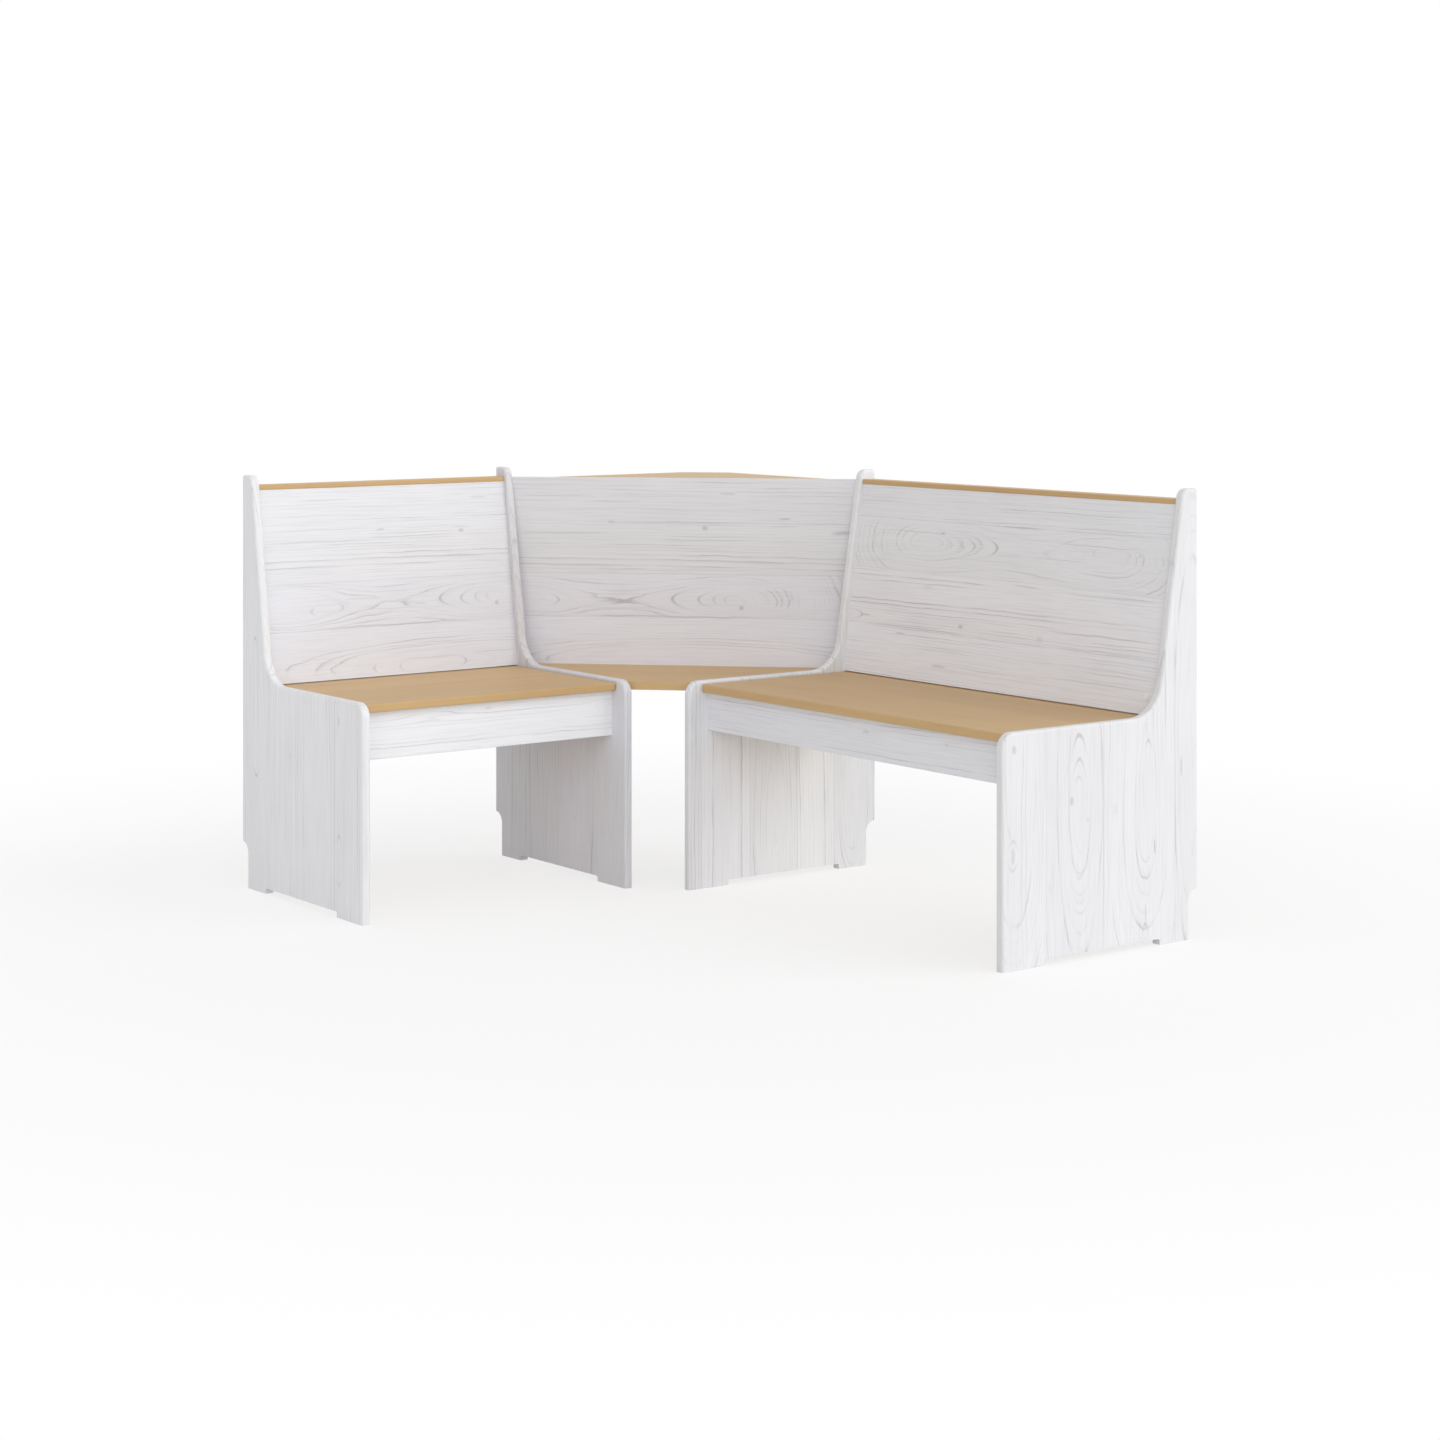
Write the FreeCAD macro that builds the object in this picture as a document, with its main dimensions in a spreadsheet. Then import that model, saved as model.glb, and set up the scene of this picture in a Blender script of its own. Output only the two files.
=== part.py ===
import FreeCAD, Part
import math
import os
import re
import Sketcher

# Corner storage bench: a long and a short wing, each with a lift-up seat lid over a shallow
# box, meet at a fixed corner seat. Millimetres and degrees. The origin is on the floor under
# the middle of the bench. The long wing runs along X with its back to +Y, the short wing
# runs along Y with its back to -X. "Depth" is always the distance from the wall side.

sizes = {
    # whole bench
    "panel_height": 830,
    "panel_depth": 483,
    "panel_thickness": 18,
    "corner_span": 557,
    "long_span": 907,
    "short_span": 585,
    "seat_base": 395,
    # outline of a side panel
    "panel_top_depth": 34.8,
    "panel_lean": 9.05,
    "arm_rise": 6.5,
    "panel_top_radius": 18,
    "bend_radius": 70,
    "arm_front_radius": 28,
    "edge_rounding": 5,
    "front_foot": 98,
    "back_foot": 73,
    "foot_recess": 11,
    "recess_radius": 5,
    "skirting_depth": 23,
    "skirting_height": 92,
    # wing backrest and its cap
    "back_thickness": 18,
    "back_top_depth": 30.3,
    "back_lean": 7.82,
    "back_lid_gap": 2.5,
    "cap_drop": 19.5,
    "cap_thickness": 10,
    "cap_depth": 30,
    "cap_overhang": 1.7,
    "small_rounding": 2,
    # seat lid and its battens
    "lid_thickness": 16,
    "lid_setback": 31,
    "lid_tail": 48,
    "lid_end_gap": 3,
    "lid_rounding": 2.5,
    "batten_width": 40,
    "batten_thickness": 16,
    "batten_inset": 150,
    "batten_back_gap": 7,
    "batten_front_gap": 18,
    # storage box
    "apron_thickness": 18,
    "lid_overhang": 16,
    "long_apron_height": 77.5,
    "short_apron_height": 92,
    "rail_thickness": 18,
    "floor_thickness": 6,
    "floor_rise": 10,
    "groove_depth": 6,
    "groove_gap": 0.2,
    "floor_gap": 0.5,
    # hinges
    "hinge_axis_depth": 113,
    "hinge_length": 60,
    "hinge_inset": 90,
    "knuckle_radius": 3.5,
    "knuckle_play": 0.2,
    "hinge_gap": 0.3,
    "leaf_thickness": 1.5,
    "leaf_width": 30,
    "hinge_pin_radius": 1.5,
    "running_gap": 0.05,
    "hinge_screw_radius": 1.5,
    "hinge_screw_head": 3,
    "hinge_screw_length": 12,
    "hinge_screw_spread": 20,
    "hinge_screw_line": 19,
    # wooden dowels and pegs, cam fittings, wood screws
    "fixing_gap": 0.05,
    "dowel_radius": 4,
    "dowel_length": 35,
    "dowel_sunk": 12,
    "dowel_low": 24,
    "dowel_high": 14,
    "back_dowel_inset": 63,
    "peg_radius": 3,
    "peg_length": 22,
    "peg_in_cap": 6,
    "peg_in_panel": 12,
    "cap_peg_inset": 80,
    "corner_peg_inset": 9,
    "corner_peg_low": 50,
    "corner_peg_high": 30,
    "cam_radius": 5,
    "cam_height": 13,
    "cam_setback": 34,
    "cam_bore_gap": 0.5,
    "cam_low_rise": 33,
    "cam_high_drop": 100,
    "cam_cover_radius": 5.6,
    "cam_cover_thickness": 1.2,
    "cam_cover_rounding": 0.5,
    "bolt_radius": 2.5,
    "bolt_sunk": 11,
    "bolt_reach": 1.5,
    "screw_radius": 2,
    "screw_head": 4,
    "screw_head_height": 2.2,
    "screw_bite": 11,
    "batten_screw_inset": 30,
    # corner seat, backrest, shelf and what carries them
    "corner_back_depth": 36,
    "corner_back_thickness": 18,
    "corner_back_drop": 21,
    "corner_seat_lift": 1,
    "corner_seat_thickness": 16,
    "corner_seat_gap": 1,
    "shelf_drop": 3.5,
    "shelf_thickness": 16,
    "shelf_wall_gap": 22,
    "shelf_corner_setback": 84,
    "cleat_size": 24,
    "cleat_end_gap": 20,
    "cleat_screw_inset": 40,
    "seat_screw_inset": 80,
    "shelf_cleat_inset": 80,
    "bracket_thickness": 18,
    "bracket_depth": 240,
    "bracket_height": 200,
    "bracket_tip": 25,
    "bracket_peg_inset": 60,
}

# lengths and heights that follow from the sizes
half_length = "(corner_span + 2 * panel_thickness + long_span) / 2"
half_depth = "(corner_span + 2 * panel_thickness + short_span) / 2"
arm_height = "(seat_base + lid_thickness + arm_rise)"
arm_back = f"(panel_top_depth + (panel_height - {arm_height}) * tan(panel_lean))"
back_top = "(panel_height - cap_drop - cap_thickness)"
back_base = "(seat_base + lid_thickness + back_lid_gap)"
lid_front = "(panel_depth - lid_setback)"
lid_back = "(hinge_axis_depth - lid_tail)"
apron_front = f"({lid_front} - lid_overhang)"
apron_back = f"({apron_front} - apron_thickness)"
hinge_height = "(seat_base - hinge_gap - knuckle_radius)"
knuckle_clear = "(knuckle_radius + hinge_gap)"
rail_back = f"(hinge_axis_depth + {knuckle_clear})"
rail_front = f"({rail_back} + rail_thickness)"
rail_top = "(seat_base - leaf_thickness - hinge_gap)"
batten_back = "(hinge_axis_depth + leaf_width + batten_back_gap)"
batten_front = f"({apron_back} - batten_front_gap)"
corner_seat_base = "(seat_base + corner_seat_lift)"
cleat_base = f"({corner_seat_base} - cleat_size)"
cleat_back = "(corner_back_depth + cleat_size + corner_seat_gap)"
cleat_front = f"({lid_front} - cleat_end_gap)"
corner_back_top = "(panel_height - corner_back_drop)"
shelf_base = f"({corner_back_top} - shelf_drop - shelf_thickness)"
# distances from the wall corner along the diagonal of the room
bay_diagonal = "(corner_span * sqrt(2))"
seat_front_run = f"((corner_span + {lid_front}) / sqrt(2))"
back_front_run = "((corner_span + corner_back_depth) / sqrt(2))"
back_rear_run = f"({back_front_run} - corner_back_thickness)"
wall_gap_run = "(shelf_wall_gap * sqrt(2))"

# where the corner and the wings stand: x, y and the turn about Z
corner_frame = (f"-{half_length}", half_depth, 45)
long_frame = (f"corner_span + panel_thickness - {half_length}", half_depth, 0)
short_frame = (f"-{half_length}", f"-{half_depth} + panel_thickness", 90)

ways = {
    "+z": FreeCAD.Rotation(FreeCAD.Vector(1, 0, 0), 0),
    "-y": FreeCAD.Rotation(FreeCAD.Vector(1, 0, 0), 90),
    "+y": FreeCAD.Rotation(FreeCAD.Vector(1, 0, 0), -90),
    "+x": FreeCAD.Rotation(FreeCAD.Vector(0, 1, 0), 90),
    "-x": FreeCAD.Rotation(FreeCAD.Vector(0, 1, 0), -90),
}
plane_axes = {"XY_Plane": (0, 1), "YZ_Plane": (1, 2)}

doc = FreeCAD.newDocument("corner_bench")
sheet = doc.addObject("Spreadsheet::Sheet", "sizes")
for row, (alias, number) in enumerate(sizes.items(), 1):
    sheet.set(f"A{row}", alias)
    sheet.set(f"B{row}", str(number))
    sheet.setAlias(f"B{row}", alias)
doc.recompute()

nodes = []


def full(text):
    """The expression with every size led by the sheet's name."""
    return re.sub(r"[a-z_]+", lambda word: f"sizes.{word[0]}" if word[0] in sizes else word[0], text)


def value(text):
    return float(sheet.evalExpression(full(text)))


def bind(thing, **properties):
    for name, text in properties.items():
        thing.setExpression(name, full(text))
    return thing


def move(thing, x, y, z="0"):
    for axis, text in (("x", x), ("y", y), ("z", z)):
        thing.setExpression(f".Placement.Base.{axis}", full(text))
    return thing


def stand(thing, frame):
    """Puts a piece that was made in a wing's or the corner's own frame where that frame stands."""
    x, y, turn = frame
    thing.Placement = FreeCAD.Placement(FreeCAD.Vector(), FreeCAD.Rotation(FreeCAD.Vector(0, 0, 1), turn))
    return move(thing, x, y)


def node(thing):
    nodes.append(thing)
    return thing


# boards: a sketched outline padded to a length, with some edges rounded


def sketch_on(body, plane, start):
    sketch = body.newObject("Sketcher::SketchObject", "outline")
    support = next(feature for feature in body.Origin.OriginFeatures if feature.Role == plane)
    sketch.AttachmentSupport = [(support, "")]
    sketch.MapMode = "FlatFace"
    sketch.setExpression(".AttachmentOffset.Base.z", full(start))
    return sketch


def pin_point(sketch, geometry, position, across, up):
    """Holds one point of a sketch at bound distances from the sketch's origin."""
    for kind, text in (("DistanceX", across), ("DistanceY", up)):
        constraint = Sketcher.Constraint(kind, -1, 1, geometry, position, value(text))
        sketch.setExpression(f"Constraints[{sketch.addConstraint(constraint)}]", full(text))


def board(label, frame, plane, start, length, corners):
    body = stand(doc.addObject("PartDesign::Body", label), frame)
    sketch = sketch_on(body, plane, start)
    points = [FreeCAD.Vector(value(across), value(up), 0) for across, up in corners]
    for point, following in zip(points, points[1:] + points[:1]):
        sketch.addGeometry(Part.LineSegment(point, following))
    for line, (across, up) in enumerate(corners):
        following = (line + 1) % len(corners)
        sketch.addConstraint(Sketcher.Constraint("Coincident", line, 2, following, 1))
        pin_point(sketch, line, 1, across, up)
    pad = body.newObject("PartDesign::Pad", "pad")
    pad.Profile = sketch
    bind(pad, Length=length)
    return body


def round_edges(body, radius, chosen):
    doc.recompute()
    edges = [f"Edge{i}" for i, edge in enumerate(body.Tip.Shape.Edges, 1) if chosen(edge)]
    if not edges:
        raise RuntimeError(f"{body.Label} has no such edge to round")
    base = body.Tip
    fillet = body.newObject("PartDesign::Fillet", "rounding")
    fillet.Base = (base, edges)
    bind(fillet, Radius=radius)


def round_corners(body, plane, radius, corners):
    """Rounds the padded edges that stand on these corners of the outline."""
    axes = plane_axes[plane]
    spots = [(value(across), value(up)) for across, up in corners]

    def on_corner(edge):
        ends = [[vertex.Point[axis] for axis in axes] for vertex in edge.Vertexes]
        return any(all(math.dist(end, spot) < 0.01 for end in ends) for spot in spots)

    round_edges(body, radius, on_corner)


# square bars, round rods and screws, in a wing's or the corner's own frame


def bar(x, y, z, length, depth, height):
    return move(bind(doc.addObject("Part::Box", "bar"), Length=length, Width=depth, Height=height), x, y, z)


def rod(way, x, y, z, radius, length):
    thing = bind(doc.addObject("Part::Cylinder", "rod"), Radius=radius, Height=length)
    thing.Placement = FreeCAD.Placement(FreeCAD.Vector(), ways[way])
    return move(thing, x, y, z)


def screw(way, x, y, z, radius, head, head_height, length):
    """A countersunk screw, by the middle of its flat head and the way that it is driven."""
    cone = bind(doc.addObject("Part::Cone", "head"), Radius1=head, Radius2=radius, Height=head_height)
    cone.Placement = FreeCAD.Placement(FreeCAD.Vector(), ways[way])
    return join([rod(way, x, y, z, radius, length), move(cone, x, y, z)])


def join(things):
    fused = doc.addObject("Part::MultiFuse", "joined")
    fused.Shapes = things
    return fused


def group(label, things):
    compound = doc.addObject("Part::Compound", label)
    compound.Links = things
    return compound


def fasteners(label, frame, make, spots):
    """Like fasteners, and the holes they need: the same forms, wider by a small gap."""
    pieces = stand(group(label, [make(spot, "0") for spot in spots]), frame)
    holes = stand(group(f"{label}_holes", [make(spot, "fixing_gap") for spot in spots]), frame)
    return pieces, holes


def drilled(label, thing, holes):
    cut = doc.addObject("Part::Cut", label)
    cut.Base = thing
    cut.Tool = group(f"{label}_holes", holes)
    return node(cut)


# fixings that more than one piece shares


def dowel(spot, gap):
    return rod(*spot, f"dowel_radius + {gap}", "dowel_length")


def peg(spot, gap):
    return rod(*spot, f"peg_radius + {gap}", "peg_length")


def bolt(spot, gap):
    return rod(*spot, f"bolt_radius + {gap}", "bolt_sunk + cam_setback + bolt_reach")


def cleat_screw(spot, gap):
    head = f"screw_head + {gap}"
    return screw(*spot, f"screw_radius + {gap}", head, "screw_head_height", "cleat_size + screw_bite")


def batten_screw(spot, gap):
    head = f"screw_head + {gap}"
    return screw(*spot, f"screw_radius + {gap}", head, "screw_head_height", "batten_thickness + screw_bite")


def hinge_screw(spot, gap):
    head = f"hinge_screw_head + {gap}"
    return screw(*spot, f"hinge_screw_radius + {gap}", head, "leaf_thickness", "hinge_screw_length")


def disc(x, depth, z, lean, forward, radius, thickness):
    """A round disc whose axis is square to a board that leans back, forward of the board's middle."""
    y = f"-{depth} - ({forward}) * cos({lean})"
    thing = rod("-y", x, y, f"{z} + ({forward}) * sin({lean})", radius, thickness)
    thing.setExpression(".Placement.Rotation.Angle", full(f"90 - {lean}"))
    return thing


# wings: made with the back to +Y and the left inner end of the clear span at x = 0


def side_panel(label, frame, start):
    corners = [
        ("-skirting_depth", "0"),
        ("-skirting_depth", "skirting_height - skirting_depth"),
        ("0", "skirting_height"),
        ("0", "panel_height"),
        ("-panel_top_depth", "panel_height"),
        (f"-{arm_back}", arm_height),
        ("-panel_depth", arm_height),
        ("-panel_depth", "0"),
        ("front_foot - panel_depth", "0"),
        ("front_foot - panel_depth", "foot_recess"),
        ("-skirting_depth - back_foot", "foot_recess"),
        ("-skirting_depth - back_foot", "0"),
    ]
    body = board(label, frame, "YZ_Plane", start, "panel_thickness", corners)
    cut_cove(body, start)
    round_corners(body, "YZ_Plane", "panel_top_radius", corners[4:5])
    round_corners(body, "YZ_Plane", "bend_radius", corners[5:6])
    round_corners(body, "YZ_Plane", "arm_front_radius", corners[6:7])
    round_corners(body, "YZ_Plane", "recess_radius", corners[9:11])
    front, arm = value("panel_depth"), value(f"{arm_height} - arm_front_radius")

    def on_seat_side(edge):
        """The outline of either face from the top of the back down to the front foot."""
        middle = edge.CenterOfMass
        flat = max(vertex.X for vertex in edge.Vertexes) - min(vertex.X for vertex in edge.Vertexes) < 0.01
        return flat and (-middle.y > front - 0.01 or (middle.z > arm - 0.01 and middle.y < -0.01))

    round_edges(body, "edge_rounding", on_seat_side)
    return body


def cut_cove(body, start):
    """Rounds out the top of the skirting notch with a quarter circle."""
    doc.recompute()
    before = body.Shape.Volume
    sketch = sketch_on(body, "YZ_Plane", start)
    centre = FreeCAD.Vector(0, value("skirting_height - skirting_depth"), 0)
    radius = value("skirting_depth")
    sketch.addGeometry(Part.Circle(centre, FreeCAD.Vector(0, 0, 1), radius))
    pin_point(sketch, 0, 3, "0", "skirting_height - skirting_depth")
    constraint = Sketcher.Constraint("Radius", 0, radius)
    sketch.setExpression(f"Constraints[{sketch.addConstraint(constraint)}]", full("skirting_depth"))
    pocket = body.newObject("PartDesign::Pocket", "cove")
    pocket.Profile = sketch
    pocket.Reversed = True
    bind(pocket, Length="panel_thickness")
    doc.recompute()
    removed = (math.pi / 4 - 0.5) * radius**2 * value("panel_thickness")
    if abs(before - body.Shape.Volume - removed) > 0.01 * removed:
        raise RuntimeError(f"{body.Label}: the cove over the skirting is not cut")


def back_middle(z):
    """Depth of the middle of a leaning backrest at a height."""
    return f"(back_top_depth + ({back_top} - ({z})) * tan(back_lean) - back_thickness / 2 / cos(back_lean))"


def both_ends(span, sunk, depth, z):
    """A fixing in each end of a board, that starts so far inside the side panels."""
    return [("+x", f"-{sunk}", f"-{depth}", z), ("-x", f"{span} + {sunk}", f"-{depth}", z)]


def wing_backrest(name, frame, span):
    rear = "back_thickness / cos(back_lean)"
    front_base = f"(back_top_depth + ({back_top} - {back_base}) * tan(back_lean))"
    corners = [
        ("-back_top_depth", back_top),
        (f"{rear} - back_top_depth", back_top),
        (f"{rear} - {front_base}", back_base),
        (f"-{front_base}", back_base),
    ]
    return board(f"{name}_backrest_board", frame, "YZ_Plane", "0", span, corners)


def top_cap(name, frame, span):
    front, top = "-back_top_depth - cap_overhang", f"{back_top} + cap_thickness"
    corners = [
        (front, back_top),
        (front, top),
        (f"{front} + cap_depth", top),
        (f"{front} + cap_depth", back_top),
    ]
    body = board(f"{name}_cap_board", frame, "YZ_Plane", "0", span, corners)
    round_corners(body, "YZ_Plane", "small_rounding", corners[:2])
    return body


def seat_lid(name, frame, span):
    front, back = f"-{lid_front}", f"-{lid_back}"
    top = "seat_base + lid_thickness"
    corners = [(front, "seat_base"), (front, top), (back, top), (back, "seat_base")]
    length = f"{span} - 2 * lid_end_gap"
    body = board(f"{name}_lid_board", frame, "YZ_Plane", "lid_end_gap", length, corners)
    round_corners(body, "YZ_Plane", "lid_rounding", corners)
    return body


def grooved(outer, inner, base, top):
    """Outline of an upright board with a groove for the box floor in its inner face."""
    bottom = f"({outer} + ({inner} - ({outer})) * (1 - groove_depth / abs({inner} - ({outer}))))"
    low = f"{base} + floor_rise"
    high = f"{low} + floor_thickness + groove_gap"
    groove = [(inner, high), (bottom, high), (bottom, low), (inner, low)]
    return [(outer, base), (outer, top), (inner, top), *groove, (inner, base)]


def storage_box(name, frame, span, base):
    """Apron in front, rail behind, and a thin floor held in the grooves of both."""
    front = grooved(f"-{apron_front}", f"-{apron_back}", base, "seat_base")
    apron = board(f"{name}_apron_board", frame, "YZ_Plane", "0", span, front)
    round_corners(apron, "YZ_Plane", "small_rounding", front[:1])
    rear = grooved(f"-{rail_back}", f"-{rail_front}", base, rail_top)
    rail = board(f"{name}_rail_board", frame, "YZ_Plane", "0", span, rear)
    near = f"-({apron_back} + groove_depth - floor_gap)"
    far = f"-({rail_front} - groove_depth + floor_gap)"
    low, high = f"{base} + floor_rise", f"{base} + floor_rise + floor_thickness"
    sheet_corners = [(near, low), (near, high), (far, high), (far, low)]
    length = f"{span} - 2 * floor_gap"
    node(board(f"{name}_storage_floor", frame, "YZ_Plane", "floor_gap", length, sheet_corners))
    return apron, rail


def hinge_leaf(middle, knuckles, plate, tab, bore_radius):
    """A flat leaf with a knuckle at each of its places along the hinge's five."""
    left = f"({middle} - hinge_length / 2)"
    pitch = "(hinge_length / 5)"
    y, z, depth, height = plate
    parts = [bar(left, y, z, "hinge_length", depth, height)]
    for place in knuckles:
        x, length = f"{left} + {place} * {pitch} + knuckle_play / 2", f"{pitch} - knuckle_play"
        y, z, depth, height = tab
        parts.append(bar(x, y, z, length, depth, height))
        parts.append(rod("+x", x, "-hinge_axis_depth", hinge_height, "knuckle_radius", length))
    bore = rod("+x", left, "-hinge_axis_depth", hinge_height, bore_radius, "hinge_length")
    leaf = doc.addObject("Part::Cut", "leaf")
    leaf.Base = join(parts)
    leaf.Tool = bore
    return leaf


def hinges(name, frame, middles):
    """Butt hinges between the rear rail and the lid, with their pins and countersunk screws."""
    flat = f"leaf_width - {knuckle_clear}"
    fixed_plate = (f"-{rail_back}", f"{hinge_height} - leaf_width", "leaf_thickness", flat)
    fixed_tab = (f"-{rail_back}", f"{hinge_height} - {knuckle_clear}", "leaf_thickness", knuckle_clear)
    moving_plate = ("-hinge_axis_depth - leaf_width", "seat_base - leaf_thickness", flat, "leaf_thickness")
    moving_tab = (f"-hinge_axis_depth - {knuckle_clear}", moving_plate[1], knuckle_clear, "leaf_thickness")
    fixed = [hinge_leaf(x, (0, 2, 4), fixed_plate, fixed_tab, "hinge_pin_radius") for x in middles]
    running = "hinge_pin_radius + running_gap"
    moving = [hinge_leaf(x, (1, 3), moving_plate, moving_tab, running) for x in middles]
    sides = [f"{x} {sign} hinge_screw_spread" for x in middles for sign in "-+"]
    rail_y, lid_z = f"-{rail_back} + leaf_thickness", "seat_base - leaf_thickness"
    rail_spots = [("-y", x, rail_y, f"{hinge_height} - hinge_screw_line") for x in sides]
    lid_spots = [("+z", x, "-hinge_axis_depth - hinge_screw_line", lid_z) for x in sides]
    rail_screws, rail_holes = fasteners(f"{name}_hinge_rail_screws", frame, hinge_screw, rail_spots)
    lid_screws, lid_holes = fasteners(f"{name}_hinge_lid_screws", frame, hinge_screw, lid_spots)
    drilled(f"{name}_hinge_fixed_leaves", stand(group("leaves", fixed), frame), [rail_holes])
    drilled(f"{name}_hinge_moving_leaves", stand(group("leaves", moving), frame), [lid_holes])
    starts = [f"{x} - hinge_length / 2" for x in middles]
    axis = ("-hinge_axis_depth", hinge_height, "hinge_pin_radius", "hinge_length")
    pins = group(f"{name}_hinge_pins", [rod("+x", x, *axis) for x in starts])
    for piece in (stand(pins, frame), rail_screws, lid_screws):
        node(piece)
    return rail_holes, lid_holes


def battens(name, frame, span):
    """Two battens screwed under the lid keep it flat."""
    length = f"{batten_front} - {batten_back}"
    middles = ["batten_inset", f"{span} - batten_inset"]
    low = "seat_base - batten_thickness"
    strips = [
        bar(f"{x} - batten_width / 2", f"-{batten_front}", low, "batten_width", length, "batten_thickness")
        for x in middles
    ]
    depths = [f"-{batten_back} - batten_screw_inset", f"-{batten_front} + batten_screw_inset"]
    spots = [("+z", x, y, low) for x in middles for y in depths]
    screws, holes = fasteners(f"{name}_batten_screws", frame, batten_screw, spots)
    node(screws)
    drilled(f"{name}_lid_battens", stand(group("strips", strips), frame), [holes])
    return holes


def cam_fittings(name, frame, span, boards, front_cam=None):
    """A bolt in the side panel and a cam disc in the board at each place, both ends alike.
    Discs go in from the hidden face, apart from the one that front_cam picks."""
    bolt_spots, discs, pockets, bores = [], [], [], []
    bore = ("bolt_radius + cam_bore_gap", "bolt_sunk + cam_setback + 2 * bolt_reach")
    for number, (depth, z, lean, thickness, from_front) in enumerate(boards):
        for end, spot in enumerate(both_ends(span, "bolt_sunk", depth, z)):
            bolt_spots.append(spot)
            bores.append(rod(*spot, *bore))
            x = ("cam_setback", f"{span} - cam_setback")[end]
            front = from_front or (number, end) == front_cam
            forward = f"{thickness} / 2 - cam_height" if front else f"-{thickness} / 2"
            discs.append(disc(x, depth, z, lean, forward, "cam_radius", "cam_height"))
            pockets.append(disc(x, depth, z, lean, forward, "cam_radius + fixing_gap", "cam_height"))
    bolts, bolt_holes = fasteners(f"{name}_cam_bolts", frame, bolt, bolt_spots)
    node(bolts)
    drilled(f"{name}_cam_discs", stand(group("discs", discs), frame), [stand(group("bores", bores), frame)])
    return [bolt_holes, stand(group("cam_pockets", pockets), frame)]


def bay_fixings(name, frame, bay_face, outward, inward):
    """Cleat for the corner seat on the inner panel's bay face, and pegs for the corner backrest.
    bay_face is that face's x; outward and inward are the signs into the bay and back."""
    shift = {"+": "0", "-": "cleat_size"}[outward]
    run = f"{cleat_front} - {cleat_back}"
    cleat_x = f"{bay_face} - {shift}"
    cleat = bar(cleat_x, f"-{cleat_front}", cleat_base, "cleat_size", run, "cleat_size")
    way, head = f"{inward}x", f"{bay_face} {outward} cleat_size"
    depths = [
        f"{cleat_back} + cleat_screw_inset",
        f"({cleat_back} + {cleat_front}) / 2",
        f"{cleat_front} - cleat_screw_inset",
    ]
    side_spots = [(way, head, f"-({y})", f"{cleat_base} + cleat_size / 2") for y in depths]
    middle = f"{bay_face} {outward} cleat_size / 2"
    up_depths = [f"{cleat_back} + seat_screw_inset", f"{cleat_front} - seat_screw_inset"]
    up_spots = [("+z", middle, f"-({y})", cleat_base) for y in up_depths]
    peg_x, peg_y = f"{bay_face} {inward} peg_in_panel", "corner_peg_inset - corner_back_depth"
    heights = [
        f"{cleat_base} + corner_peg_low",
        f"({cleat_base} + {corner_back_top}) / 2",
        f"{corner_back_top} - corner_peg_high",
    ]
    peg_spots = [(f"{outward}x", peg_x, peg_y, z) for z in heights]
    side = fasteners(f"{name}_cleat_screws", frame, cleat_screw, side_spots)
    up = fasteners(f"{name}_seat_screws", frame, cleat_screw, up_spots)
    pegs = fasteners(f"{name}_corner_pegs", frame, peg, peg_spots)
    drilled(f"{name}_seat_cleat", stand(group("cleat", [cleat]), frame), [side[1], up[1]])
    return side, up, pegs


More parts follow.
